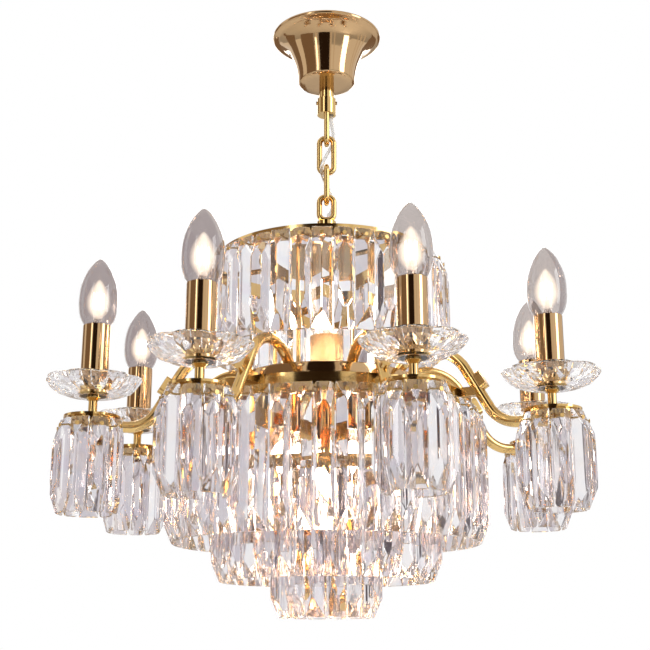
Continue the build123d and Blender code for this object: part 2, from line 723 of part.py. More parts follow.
def lampholder(radius, mouth, bottom, tail_bore, tail_depth):
    """Holder with a socket open at its mouth and a threaded hole in its tail."""
    holder = disc(radius, bottom, mouth)
    holder -= disc(SOCKET_R, mouth - SOCKET_DEPTH, mouth + THROUGH)
    return holder - disc(tail_bore, bottom - THROUGH, bottom + tail_depth)


def candle_holder():
    depth = SPIGOT_TOP - DISH_FLOOR + SLIP
    return lampholder(HOLDER_R, SLEEVE_TOP - HOLDER_RECESS, DISH_FLOOR, SPIGOT_R + SLIP, depth)


def drip_dish():
    """Thick glass saucer with a foot that stands on the ferrule."""
    hole = SPIGOT_R + SLIP
    knee_r = DISH_KNEE[0] * DISH_R
    knee = DISH_BOTTOM + DISH_KNEE[1] * (DISH_RIM - DISH_BOTTOM)
    outside = [
        (hole, DISH_BOTTOM),
        (DISH_FOOT_R, DISH_BOTTOM),
        (knee_r, knee),
        (DISH_R, DISH_RIM - DISH_RIM_ROUND),
        (DISH_R - DISH_RIM_ROUND / 2, DISH_RIM),
    ]
    inside = [
        (DISH_R - DISH_WALL, DISH_RIM),
        (knee_r - DISH_WALL / 2, knee + DISH_WALL / 2),
        (DISH_FOOT_R, DISH_FLOOR),
        (hole, DISH_FLOOR),
    ]
    return turned_solid(outside + inside)


def ferrule():
    """Flared nut between a pendant's disc and the drip dish."""
    bottom = HUB_SEAT + PENDANT_DISC
    flare = DISH_BOTTOM - FERRULE_RIM
    bore = SPIGOT_R + SLIP
    return turned_solid([
        (bore, bottom),
        (FERRULE_R, bottom),
        (FERRULE_R, flare - FERRULE_FLARE),
        (FERRULE_FLARE_R, flare),
        (FERRULE_FLARE_R, DISH_BOTTOM),
        (bore, DISH_BOTTOM),
    ])


# ---------------------------------------------------------------- pendants
def pendant_turns():
    """Turns about a candle's axis for the prisms, leaving out the arm's side."""
    step = 360 / PENDANT_PLACES
    return [Rot(0, 0, 180 + step * i) for i in range(1, PENDANT_PLACES)]


def pendant_hub():
    """Disc with a skirt that the pendant's prisms are pinned to, slotted for the arm."""
    outer = PENDANT_R - PRISM_STANDOFF
    hub = disc(PENDANT_DISC_R, HUB_SEAT, HUB_SEAT + PENDANT_DISC)
    hub += tube(outer, outer - BAND_THICK, PENDANT_TOP - BAND_BELOW, HUB_SEAT + EDGE)
    hub -= disc(SPIGOT_R + SLIP, HUB_SEAT - THROUGH, HUB_SEAT + PENDANT_DISC + THROUGH)
    hole = Pos(outer, 0, PENDANT_TOP - PIN_DROP) * (Rot(0, 90, 0) * Cylinder(PIN_R + SLIP, 4 * BAND_THICK))
    hub -= [turn * hole for turn in pendant_turns()]
    slot = Pos(-outer, 0, HUB_SEAT - BAND_BELOW) * Box(outer, PENDANT_SLOT, 2 * BAND_BELOW - 2 * EDGE)
    return hub - slot


def pendant_prisms():
    width = prism_width(PENDANT_R, PENDANT_PLACES)
    shapes = [ridge_prism(width, PENDANT_LENGTH), flat_prism(width, PENDANT_LENGTH)]
    place = Pos(PENDANT_R, 0, PENDANT_TOP)
    return [turn * (place * shapes[i % 2]) for i, turn in enumerate(pendant_turns())]


# ---------------------------------------------------------------- inner lamps
def centre_holder():
    bottom = PLATE_TOP
    depth = TUBE_TOP - PLATE_TOP + SLIP
    mouth = CENTRE_SLEEVE_TOP - HOLDER_RECESS
    return lampholder(INNER_HOLDER_R, mouth, bottom, NIPPLE_R + SLIP, depth)


def down_places(shape):
    return round_the_axis(Pos(DOWN_R, 0, 0) * shape, DOWN_COUNT, DOWN_AZIMUTH)


def down_holder():
    holder = disc(INNER_HOLDER_R, DOWN_MOUTH, PLATE_BOTTOM)
    return holder - disc(SOCKET_R, DOWN_MOUTH - THROUGH, DOWN_MOUTH + SOCKET_DEPTH)


def down_bulb():
    return Pos(0, 0, DOWN_MOUTH - HOLDER_RECESS) * (Rot(180, 0, 0) * bulb())


# ---------------------------------------------------------------- supply cable
CABLE_ROUTE = [
    (0, 19, -28), (0, 19, -10), (0, 0, -4.5), (0, 0, -76), (4.6, 0, -84.5), (4.8, 0.5, -97),
    (8, 8.25, -111.4), (4.25, 5.95, -121.5), (-5.1, -6.05, -145.3), (-5.3, -5.4, -154.5),
    (5.7, 5.7, -177.5), (6.6, 5.1, -188.8), (0.1, 6.7, -197), (0, 6.8, -226), (0, 15, -238),
    (0, 15.2, -262), (3.6, 44, -285), (4.6, 49, -325), (3.85, 47.8, -373),
]


def bend_radii(points):
    """Radius at each corner of a route that uses CABLE_BEND of the shorter side next to it."""
    radii = []
    for before, corner, after in zip(points, points[1:], points[2:]):
        first = corner - before
        second = after - corner
        half_turn = radians(first.get_angle(second) / 2)
        radii.append(CABLE_BEND * min(first.length, second.length) / tan(half_turn))
    return radii


def supply_cable():
    """Lead from the terminal block, through the collar and the chain, down into the plate."""
    radii = bend_radii([Vector(*point) for point in CABLE_ROUTE])
    path = FilletPolyline(*CABLE_ROUTE, radius=radii)
    section = Plane(origin=path @ 0, z_dir=path % 0) * Circle(CABLE_R)
    print("cable length", round(path.length, 1), "least bend radius", round(min(radii), 1))
    return sweep(section, path=path)


def main():
    os.makedirs("parts", exist_ok=True)
    save("ceiling_strap", ceiling_strap())
    save("strap_nut", hex_nut(NUT_R, NIPPLE_R + SLIP, -STRAP_DROP, NUT_HEIGHT - 1))
    save("canopy", canopy())
    save("canopy_nipple", canopy_nipple())
    save("lock_ring", tube(LOCK_RING_R, NIPPLE_R + SLIP, -CANOPY_DEPTH - LOCK_RING_HEIGHT, -CANOPY_DEPTH))
    save("loop_collar", loop_collar())
    save("collar_screws", collar_screws())
    save("terminal_block", terminal_block())
    save("supply_cable", supply_cable())
    save("chain_link_1", chain_link_1())
    save("chain_link_2", chain_link_2())
    save("hanging_ring", hanging_ring())
    save("top_cap", top_cap())
    save("crown_stem", crown_stem())
    save("crown_frame", crown_frame())
    save("support_rods", support_rods())
    save("rod_nuts", rod_nuts())
    save("frame_nuts", frame_nuts())
    save("prism_pins", prism_pins())
    save("upper_prisms", tier(UPPER_COUNT, UPPER_R, UPPER_TOP, UPPER_LENGTH))
    save("main_plate", main_plate())
    save("plate_cover", plate_cover())
    save("centre_tube", centre_tube())
    save("finial", finial())
    save("big_ring", big_ring())
    save("big_prisms", tier(BIG_COUNT, BIG_R, BIG_TOP, BIG_LENGTH))
    save("third_ring", spider_ring(THIRD_COUNT, THIRD_R, THIRD_TOP))
    save("third_prisms", tier(THIRD_COUNT, THIRD_R, THIRD_TOP, THIRD_LENGTH))
    save("bottom_ring", spider_ring(BOTTOM_COUNT, BOTTOM_R, BOTTOM_TOP))
    save("bottom_prisms", tier(BOTTOM_COUNT, BOTTOM_R, BOTTOM_TOP, BOTTOM_LENGTH))
    save("centre_sleeve", tube(CENTRE_SLEEVE_R, CENTRE_SLEEVE_R - SLEEVE_WALL, PLATE_TOP, CENTRE_SLEEVE_TOP))
    save("centre_holder", centre_holder())
    save("centre_bulb", Pos(0, 0, CENTRE_SLEEVE_TOP) * bulb())
    save("down_holders", down_places(down_holder()))
    save("down_bulbs", down_places(down_bulb()))
    one_arm = arm()
    one_bulb = Pos(ARM_REACH, 0, SLEEVE_TOP) * bulb()
    for number, azimuth in enumerate(arm_azimuths(), 1):
        save(f"arm_{number}", turned(azimuth) * one_arm)
        save(f"bulb_{number}", turned(azimuth) * one_bulb)
    save("ring_clips", ring_clips())
    save("arm_clamps", arm_clamps())
    sleeve = tube(SLEEVE_R, SLEEVE_R - SLEEVE_WALL, DISH_FLOOR, SLEEVE_TOP)
    save("candle_sleeves", at_candles([sleeve]))
    save("candle_holders", at_candles([candle_holder()]))
    save("drip_dishes", at_candles([drip_dish()]))
    save("ferrules", at_candles([ferrule()]))
    save("pendant_hubs", at_candles([pendant_hub()]))
    save("pendant_prisms", at_candles(pendant_prisms()))


main()
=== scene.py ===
"""Looks of the crystal chandelier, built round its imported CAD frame.

Laid out as an add-on: each operator makes one kind of piece, and main() calls them in order.
Sizes are in metres in the frame of the CAD model. Its origin is on the ceiling, in the middle of
the canopy, with +Z up and -Y towards the camera."""

import math

import bpy
from mathutils import Matrix, Vector


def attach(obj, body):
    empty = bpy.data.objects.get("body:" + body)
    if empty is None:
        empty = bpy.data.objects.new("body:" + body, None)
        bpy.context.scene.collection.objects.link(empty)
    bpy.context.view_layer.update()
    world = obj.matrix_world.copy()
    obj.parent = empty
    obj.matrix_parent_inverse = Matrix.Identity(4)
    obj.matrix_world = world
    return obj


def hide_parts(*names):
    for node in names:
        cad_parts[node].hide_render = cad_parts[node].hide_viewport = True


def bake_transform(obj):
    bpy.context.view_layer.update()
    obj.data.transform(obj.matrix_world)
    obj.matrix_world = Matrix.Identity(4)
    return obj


bl_info = {
    "name": "Crystal Chandelier",
    "version": (1, 0, 0),
    "blender": (4, 5, 0),
    "location": "View3D > Sidebar > Chandelier",
    "description": "Crystal, gilt and lamp pieces for a chain-hung chandelier",
    "category": "Add Mesh",
}

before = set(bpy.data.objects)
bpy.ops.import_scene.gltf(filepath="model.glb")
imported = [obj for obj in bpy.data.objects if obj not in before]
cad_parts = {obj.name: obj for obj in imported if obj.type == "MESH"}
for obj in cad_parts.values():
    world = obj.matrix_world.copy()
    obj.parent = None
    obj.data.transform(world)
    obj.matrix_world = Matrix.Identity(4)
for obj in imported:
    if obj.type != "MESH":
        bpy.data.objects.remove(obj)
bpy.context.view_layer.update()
ARM_AZIMUTHS = [-27.1 + 45 * i for i in range(8)]
LAMP_BODIES = [f"bulb_{i}" for i in range(1, 9)]

# profiles to turn: radius and height of each ring
CANOPY_PROFILE = [
    (0.0541, 0), (0.0550, -0.0005), (0.0555, -0.0014), (0.0555, -0.0026), (0.0551, -0.0034),
    (0.0541, -0.0040), (0.0522, -0.0043), (0.0502, -0.0047), (0.0485, -0.0055), (0.0470, -0.0068),
    (0.0450, -0.0081),
    (0.0430, -0.0098), (0.0402, -0.0125), (0.0379, -0.0162), (0.0360, -0.0210), (0.0338, -0.0265),
    (0.0320, -0.0320), (0.0307, -0.0376), (0.0298, -0.0430), (0.0292, -0.0479), (0.0288, -0.0512),
    (0.0284, -0.0526), (0.0271, -0.0536), (0.0250, -0.0540), (0.0180, -0.0540), (0.0051, -0.0540),
]
PLATE_PROFILE = [
    (0.0052, -0.3670), (0.0400, -0.3670), (0.0848, -0.3670), (0.0857, -0.3673), (0.0860, -0.3680),
    (0.0860, -0.3725), (0.0860, -0.3772), (0.0857, -0.3780), (0.0849, -0.3780), (0.0848, -0.3772),
    (0.0848, -0.3688), (0.0842, -0.3682), (0.0400, -0.3682), (0.0052, -0.3682),
]
LAMP_PROFILE = [
    (0.0104, -0.0010), (0.0109, 0.0001), (0.0121, 0.0014), (0.0140, 0.0040), (0.0158, 0.0080),
    (0.0170, 0.0130), (0.0177, 0.0190), (0.0178, 0.0250), (0.0174, 0.0320), (0.0162, 0.0390),
    (0.0143, 0.0450), (0.0120, 0.0505), (0.0095, 0.0550), (0.0071, 0.0585), (0.0047, 0.0613),
    (0.0025, 0.0634), (0.0009, 0.0643),
]
HAZE_PROFILE = [
    (0.0012, 0.0060), (0.0045, 0.0078), (0.0080, 0.0110), (0.0107, 0.0155), (0.0118, 0.0205),
    (0.0117, 0.0255), (0.0105, 0.0305), (0.0084, 0.0352), (0.0058, 0.0392), (0.0032, 0.0425),
    (0.0010, 0.0445),
]
DISH_PROFILE = [
    (0.0036, -0.3965), (0.0170, -0.3965), (0.0255, -0.3946), (0.0352, -0.3905), (0.0405, -0.3858),
    (0.0434, -0.3813), (0.0426, -0.3797), (0.0402, -0.3806), (0.0345, -0.3850), (0.0262, -0.3897),
    (0.0180, -0.3925), (0.0036, -0.3930),
]
CAP_PROFILE = [
    (0.0025, -0.0290), (0.0045, -0.0285), (0.0069, -0.0255), (0.0064, -0.0235), (0.0069, -0.0215),
    (0.0064, -0.0195), (0.0069, -0.0175), (0.0064, -0.0155), (0.0069, -0.0135), (0.0069, -0.0050),
    (0.0100, -0.0010),
]
STEM_PROFILE = [
    (0.0060, -0.001), (0.0042, 0.003), (0.0022, 0.008), (0.0016, 0.016), (0.0020, 0.018),
]

# the supply cable: its middle line in millimetres, its radius, and its three runs with the heights they
# are cut at, the bodies they join and where they bend
CABLE_ROUTE = [
    (0, 19, -28), (0, 19, -10), (0, 0, -4.5), (0, 0, -76), (4.6, 0, -84.5), (4.8, 0.5, -97),
    (8, 8.25, -111.4), (4.25, 5.95, -121.5), (-5.1, -6.05, -145.3), (-5.3, -5.4, -154.5),
    (5.7, 5.7, -177.5), (6.6, 5.1, -188.8), (0.1, 6.7, -197), (0, 6.8, -226), (0, 15, -238),
    (0, 15.2, -262), (3.6, 44, -285), (4.6, 49, -325), (3.85, 47.8, -373),
]
CABLE_RADIUS = 0.0018
CABLE_RUNS = (
    ("cable_upper", None, -0.1361, ("ceiling", "link_1"), (-0.112, -0.128)),
    ("cable_middle", -0.1361, -0.1679, ("link_1", "link_2"), (-0.144, -0.160)),
    ("cable_lower", -0.1679, None, ("link_2", "chandelier"), (-0.176, -0.192)),
)

# rings of prisms: piece, CAD node, radius of the prisms' backs, height of their tops, length and count
PRISM_TIERS = (
    ("upper_crystals", "upper_prisms", 0.1085, -0.250, 0.0945, 36),
    ("big_crystals", "big_prisms", 0.1395, -0.3985, 0.1225, 48),
    ("third_crystals", "third_prisms", 0.0955, -0.455, 0.0996, 32),
    ("bottom_crystals", "bottom_prisms", 0.0405, -0.500, 0.0863, 14),
)
# a pendant: the radius of its prisms' backs, the height of their tops, their length, and the places
# round it, of which the first is left free for the arm
PENDANT_BACK, PENDANT_TOP, PENDANT_LENGTH, PENDANT_PLACES = 0.0235, -0.418, 0.0825, 9
# a flat prism: the share of its width that its front keeps, and its corner facets, measured along its
# end, its side and the end bevel's lower edge
FLAT_SHARE = 0.66
CORNER_END, CORNER_SIDE, CORNER_FRONT = 0.005, 0.009, 0.004

DISH_SIDES = 32
DISH_LOBE_START = 0.030       # radius that the lobes begin at
DISH_CUT_HEIGHT = -0.3875     # the underside's cuts stay below this
FIRST_LOWER_LAMP = -50        # azimuth in degrees
GLOW_SCALE = 1.36             # of the haze in the lamps that light the prisms


class ChandelierSizes(bpy.types.PropertyGroup):
    """Sizes that a user would change."""

    prism_depth: bpy.props.FloatProperty(
        name="Prism depth", description="From a prism's back to its front", default=0.0105,
        subtype="DISTANCE", unit="LENGTH")
    prism_edge: bpy.props.FloatProperty(
        name="Prism edge", description="Thickness of a prism along its sides", default=0.0024,
        subtype="DISTANCE", unit="LENGTH")
    prism_bevel: bpy.props.FloatProperty(
        name="Prism end bevel", description="Height of the cut at each end of a prism", default=0.018,
        subtype="DISTANCE", unit="LENGTH")
    prism_space: bpy.props.FloatProperty(
        name="Prism spacing", description="Space between neighbouring prisms", default=0.0005,
        subtype="DISTANCE", unit="LENGTH")
    arris: bpy.props.FloatProperty(
        name="Arris", description="Width of the narrow polished edge between facets", default=0.0005,
        subtype="DISTANCE", unit="LENGTH")
    arm_reach: bpy.props.FloatProperty(
        name="Arm reach", description="From the axis to a candle", default=0.219,
        subtype="DISTANCE", unit="LENGTH")
    sleeve_top: bpy.props.FloatProperty(
        name="Sleeve top", description="Height of the candle sleeves' tops", default=-0.331,
        subtype="DISTANCE", unit="LENGTH")
    centre_sleeve_top: bpy.props.FloatProperty(
        name="Centre sleeve top", description="Height of the centre sleeve's top", default=-0.323,
        subtype="DISTANCE", unit="LENGTH")
    down_mouth: bpy.props.FloatProperty(
        name="Lower lamps", description="Height of the lower lampholders' mouths", default=-0.419,
        subtype="DISTANCE", unit="LENGTH")
    down_radius: bpy.props.FloatProperty(
        name="Lower lamps' circle", description="From the axis to a lower lamp", default=0.045,
        subtype="DISTANCE", unit="LENGTH")


class ChandelierColours(bpy.types.PropertyGroup):
    """Colours and finishes that a user would change."""

    champagne: bpy.props.FloatVectorProperty(
        name="Champagne gilt", description="Canopy, sleeves and plate", subtype="COLOR", size=4,
        default=(0.58, 0.385, 0.205, 1))
    yellow: bpy.props.FloatVectorProperty(
        name="Yellow gilt", description="Arms, chain and small fittings", subtype="COLOR", size=4,
        default=(0.74, 0.51, 0.21, 1))
    crystal: bpy.props.FloatVectorProperty(
        name="Crystal tint", description="Body colour of the prisms", subtype="COLOR", size=4,
        default=(0.90, 0.878, 0.88, 1))
    lamp: bpy.props.FloatVectorProperty(
        name="Lamp glass", description="Body colour of the lamps", subtype="COLOR", size=4,
        default=(0.72, 0.68, 0.665, 1))
    glow: bpy.props.FloatVectorProperty(
        name="Lamp light", description="Colour of a lit filament", subtype="COLOR", size=4,
        default=(1.0, 0.80, 0.58, 1))


# ---------------------------------------------------------------- modelling helpers
def start_clean():
    """Leave edit mode and select nothing."""
    if bpy.context.object and bpy.context.object.mode != "OBJECT":
        bpy.ops.object.mode_set(mode="OBJECT")
    bpy.ops.object.select_all(action="DESELECT")


def finish_piece(piece, name, material=None, smooth=None):
    """Put the piece's place into its mesh, name it and give it its finish."""
    start_clean()
    bpy.context.view_layer.objects.active = piece
    piece.select_set(True)
    bpy.ops.object.transform_apply(location=True, rotation=True, scale=True)
    if smooth is not None:
        bpy.ops.object.shade_smooth_by_angle(angle=math.radians(smooth))
    piece.name = name
    piece.data.name = name
    if material:
        piece.data.materials.clear()
        piece.data.materials.append(material)
    piece.select_set(False)
    return piece


def apply_modifier(piece, kind, **values):
    start_clean()
    bpy.context.view_layer.objects.active = piece
    piece.select_set(True)
    modifier = piece.modifiers.new(kind.title(), kind)
    for key, value in values.items():
        setattr(modifier, key, value)
    bpy.ops.object.modifier_apply(modifier=modifier.name)


def outward_normals(piece):
    start_clean()
    bpy.context.view_layer.objects.active = piece
    piece.select_set(True)
    bpy.ops.object.mode_set(mode="EDIT")
    bpy.ops.mesh.select_all(action="SELECT")
    bpy.ops.mesh.remove_doubles(threshold=0.000001)
    bpy.ops.mesh.normals_make_consistent(inside=False)
    bpy.ops.object.mode_set(mode="OBJECT")


def lathe(profile, sides, close=False, cap_end=False):
    """Extrude a circle from ring to ring along a profile of radius and height, about the Z axis."""
    start_clean()
    radius, height = profile[0]
    bpy.ops.mesh.primitive_circle_add(vertices=sides, radius=radius, location=(0, 0, height))
    bpy.ops.object.transform_apply(location=True)
    bpy.ops.object.mode_set(mode="EDIT")
    bpy.ops.mesh.select_all(action="SELECT")
    for next_radius, next_height in profile[1:]:
        bpy.ops.mesh.extrude_region_move(TRANSFORM_OT_translate={"value": (0, 0, next_height - height)})
        grow = next_radius / radius
        bpy.ops.transform.resize(value=(grow, grow, 1), center_override=(0, 0, next_height))
        radius, height = next_radius, next_height
    if cap_end:
        bpy.ops.mesh.edge_face_add()
    bpy.ops.object.mode_set(mode="OBJECT")
    piece = bpy.context.object
    if close:
        bridge_ends(piece, profile)
    outward_normals(piece)
    return piece


def bridge_ends(piece, profile):
    """Join the first ring of a lathe to its last, so that the shell is closed."""
    for vertex in piece.data.vertices:
        radius = math.hypot(vertex.co.x, vertex.co.y)
        near = [abs(radius - r) < 1e-6 and abs(vertex.co.z - z) < 1e-6 for r, z in (profile[0], profile[-1])]
        vertex.select = any(near)
    for edge in piece.data.edges:
        ends = [piece.data.vertices[i] for i in edge.vertices]
        edge.select = all(v.select for v in ends) and abs(ends[0].co.z - ends[1].co.z) < 1e-7
    for face in piece.data.polygons:
        face.select = False
    bpy.ops.object.mode_set(mode="EDIT")
    bpy.ops.mesh.select_mode(type="EDGE")
    bpy.ops.mesh.bridge_edge_loops()
    bpy.ops.mesh.select_mode(type="VERT")
    bpy.ops.object.mode_set(mode="OBJECT")


def copy_of(piece, matrix):
    """A copy with its own mesh, moved to its place."""
    copy = piece.copy()
    copy.data = piece.data.copy()
    bpy.context.scene.collection.objects.link(copy)
    copy.data.transform(matrix)
    return copy


def joined(pieces, name):
    start_clean()
    for piece in pieces:
        piece.select_set(True)
    bpy.context.view_layer.objects.active = pieces[0]
    bpy.ops.object.join()
    pieces[0].name = name
    pieces[0].data.name = name
    pieces[0].select_set(False)
    return pieces[0]


def discard(piece):
    bpy.data.objects.remove(piece)


def turn(degrees):
    """Turn about the Z axis that takes +X to an azimuth from the front."""
    return Matrix.Rotation(math.radians(degrees - 90), 4, "Z")


def at_candle(azimuth):
    reach = bpy.context.scene.chandelier_sizes.arm_reach
    return turn(azimuth) @ Matrix.Translation((reach, 0, 0))


# ---------------------------------------------------------------- finishes
def add_node(tree, kind, place, **values):
    node = tree.nodes.new(kind)
    node.location = place
    for key, value in values.items():
        if key in node.inputs:
            node.inputs[key].default_value = value
        else:
            setattr(node, key, value)
    return node


def new_group(name, inputs, outputs):
    """A shader node group with named sockets: name to (type, default)."""
    tree = bpy.data.node_groups.new(name, "ShaderNodeTree")
    for label, (kind, default) in inputs.items():
        socket = tree.interface.new_socket(label, in_out="INPUT", socket_type=kind)
        socket.default_value = default
    for label, kind in outputs.items():
        tree.interface.new_socket(label, in_out="OUTPUT", socket_type=kind)
    return tree, add_node(tree, "NodeGroupInput", (-900, 0)), add_node(tree, "NodeGroupOutput", (500, 0))


FLOAT = "NodeSocketFloat"
COLOUR = "NodeSocketColor"


def gilt_group():
    """Polished plating: slow changes of tone, faint wiping marks and dulled patches."""
    tree, given, out = new_group(
        "polished_plating",
        {"Tone": (COLOUR, (0.8, 0.6, 0.4, 1)), "Deep Tone": (COLOUR, (0.6, 0.4, 0.2, 1)),
         "Gloss": (FLOAT, 0.12), "Scale": (FLOAT, 30.0)},
        {"Colour": COLOUR, "Roughness": FLOAT, "Height": FLOAT})
    link = tree.links.new
    place = add_node(tree, "ShaderNodeTexCoord", (-900, -300))
    slow = add_node(tree, "ShaderNodeTexNoise", (-600, 100), Detail=3.0, Roughness=0.55)
    link(place.outputs["Object"], slow.inputs["Vector"])
    link(given.outputs["Scale"], slow.inputs["Scale"])
    blend = add_node(tree, "ShaderNodeMix", (-100, 200), data_type="RGBA")
    link(slow.outputs["Fac"], blend.inputs["Factor"])
    link(given.outputs["Tone"], blend.inputs[6])
    link(given.outputs["Deep Tone"], blend.inputs[7])
    link(blend.outputs[2], out.inputs["Colour"])
    stretch = add_node(tree, "ShaderNodeMapping", (-700, -300), Scale=(1.0, 1.0, 14.0))
    link(place.outputs["Object"], stretch.inputs["Vector"])
    wiping = add_node(tree, "ShaderNodeTexNoise", (-450, -250), Scale=160.0, Detail=4.0, Roughness=0.6)
    link(stretch.outputs["Vector"], wiping.inputs["Vector"])
    dull = add_node(tree, "ShaderNodeMapRange", (-200, -100))
    dull.inputs["From Min"].default_value = 0.3
    dull.inputs["From Max"].default_value = 0.8
    dull.inputs["To Min"].default_value = 0.75
    dull.inputs["To Max"].default_value = 1.6
    link(wiping.outputs["Fac"], dull.inputs["Value"])
    rough = add_node(tree, "ShaderNodeMath", (100, -100), operation="MULTIPLY")
    link(dull.outputs["Result"], rough.inputs[0])
    link(given.outputs["Gloss"], rough.inputs[1])
    link(rough.outputs[0], out.inputs["Roughness"])
    link(wiping.outputs["Fac"], out.inputs["Height"])
    return tree


def crystal_group():
    """Lead crystal: faint lilac, peach and blue patches, partly the glass's own tint and partly painted
    rainbow glints that stand in for the fire of cut crystal, and fine upright striae.
    """
    tree, given, out = new_group(
        "lead_crystal",
        {"Tint": (COLOUR, (0.9, 0.88, 0.89, 1)), "Play": (FLOAT, 0.5), "Scale": (FLOAT, 60.0)},
        {"Colour": COLOUR, "Roughness": FLOAT, "Height": FLOAT})
    link = tree.links.new
    place = add_node(tree, "ShaderNodeTexCoord", (-1100, -200))
    patches = add_node(tree, "ShaderNodeTexNoise", (-850, 150), Detail=1.0, Roughness=0.4)
    link(place.outputs["Object"], patches.inputs["Vector"])
    link(given.outputs["Scale"], patches.inputs["Scale"])
    # colour patches running lilac, blue, white, pink and peach: partly the glass's real tint, partly painted
    # rainbow glints
    tint_and_painted_fire = add_node(tree, "ShaderNodeValToRGB", (-600, 200))
    ramp = tint_and_painted_fire.color_ramp
    ramp.elements[0].position = 0.30
    ramp.elements[0].color = (0.80, 0.74, 0.92, 1)
    ramp.elements[1].position = 0.72
    ramp.elements[1].color = (1.0, 0.86, 0.72, 1)
    for position, colour in ((0.40, (0.80, 0.90, 1.0, 1)), (0.46, (1, 1, 1, 1)), (0.58, (1, 1, 1, 1)),
                             (0.65, (0.98, 0.90, 0.92, 1))):
        ramp.elements.new(position).color = colour
    link(patches.outputs["Fac"], tint_and_painted_fire.inputs["Fac"])
    play = add_node(tree, "ShaderNodeMix", (-250, 200), data_type="RGBA", blend_type="MULTIPLY")
    link(given.outputs["Play"], play.inputs["Factor"])
    link(given.outputs["Tint"], play.inputs[6])
    link(tint_and_painted_fire.outputs["Color"], play.inputs[7])
    link(play.outputs[2], out.inputs["Colour"])
    drawn = add_node(tree, "ShaderNodeMapping", (-850, -200), Scale=(1.0, 1.0, 0.07))
    link(place.outputs["Object"], drawn.inputs["Vector"])
    striae = add_node(tree, "ShaderNodeTexNoise", (-600, -200), Scale=420.0, Detail=1.0, Roughness=0.5)
    link(drawn.outputs["Vector"], striae.inputs["Vector"])
    link(striae.outputs["Fac"], out.inputs["Height"])
    film = add_node(tree, "ShaderNodeMapRange", (-300, -150))
    film.inputs["From Min"].default_value = 0.45
    film.inputs["From Max"].default_value = 0.8
    film.inputs["To Min"].default_value = 0.0
    film.inputs["To Max"].default_value = 0.012
    link(striae.outputs["Fac"], film.inputs["Value"])
    link(film.outputs["Result"], out.inputs["Roughness"])
    return tree


def moulding_group():
    """Moulded plastic: soft mottling and a fine skin."""
    tree, given, out = new_group(
        "moulded_skin",
        {"Colour": (COLOUR, (0.1, 0.1, 0.1, 1)), "Gloss": (FLOAT, 0.4), "Scale": (FLOAT, 400.0)},
        {"Colour": COLOUR, "Roughness": FLOAT, "Height": FLOAT})
    link = tree.links.new
    place = add_node(tree, "ShaderNodeTexCoord", (-900, -200))
    skin = add_node(tree, "ShaderNodeTexNoise", (-600, 0), Detail=4.0, Roughness=0.6)
    link(place.outputs["Object"], skin.inputs["Vector"])
    link(given.outputs["Scale"], skin.inputs["Scale"])
    shade = add_node(tree, "ShaderNodeHueSaturation", (-100, 150))
    level = add_node(tree, "ShaderNodeMapRange", (-350, 100))
    level.inputs["To Min"].default_value = 0.85
    level.inputs["To Max"].default_value = 1.15
    link(skin.outputs["Fac"], level.inputs["Value"])
    link(level.outputs["Result"], shade.inputs["Value"])
    link(given.outputs["Colour"], shade.inputs["Color"])
    link(shade.outputs["Color"], out.inputs["Colour"])
    rough = add_node(tree, "ShaderNodeMath", (-100, -100), operation="MULTIPLY")
    link(level.outputs["Result"], rough.inputs[0])
    link(given.outputs["Gloss"], rough.inputs[1])
    link(rough.outputs[0], out.inputs["Roughness"])
    link(skin.outputs["Fac"], out.inputs["Height"])
    return tree


def finish_material(name, group, values, bump, bump_distance, plain):
    """A Principled material fed by one of the groups. Plain values sit on the shader's own sockets."""
    material = bpy.data.materials.new(name)
    material.use_nodes = True
    tree = material.node_tree
    shader = tree.nodes["Principled BSDF"]
    for key, value in plain.items():
        shader.inputs[key].default_value = value
    source = add_node(tree, "ShaderNodeGroup", (-500, 100))
    source.node_tree = group
    for key, value in values.items():
        source.inputs[key].default_value = value
    tree.links.new(source.outputs["Colour"], shader.inputs["Base Color"])
    tree.links.new(source.outputs["Roughness"], shader.inputs["Roughness"])
    relief = add_node(tree, "ShaderNodeBump", (-250, -200), Strength=bump, Distance=bump_distance)
    tree.links.new(source.outputs["Height"], relief.inputs["Height"])
    tree.links.new(relief.outputs["Normal"], shader.inputs["Normal"])
    return material


def deeper(colour, share):
    return (colour[0] * share, colour[1] * share**1.3, colour[2] * share**1.7, 1)


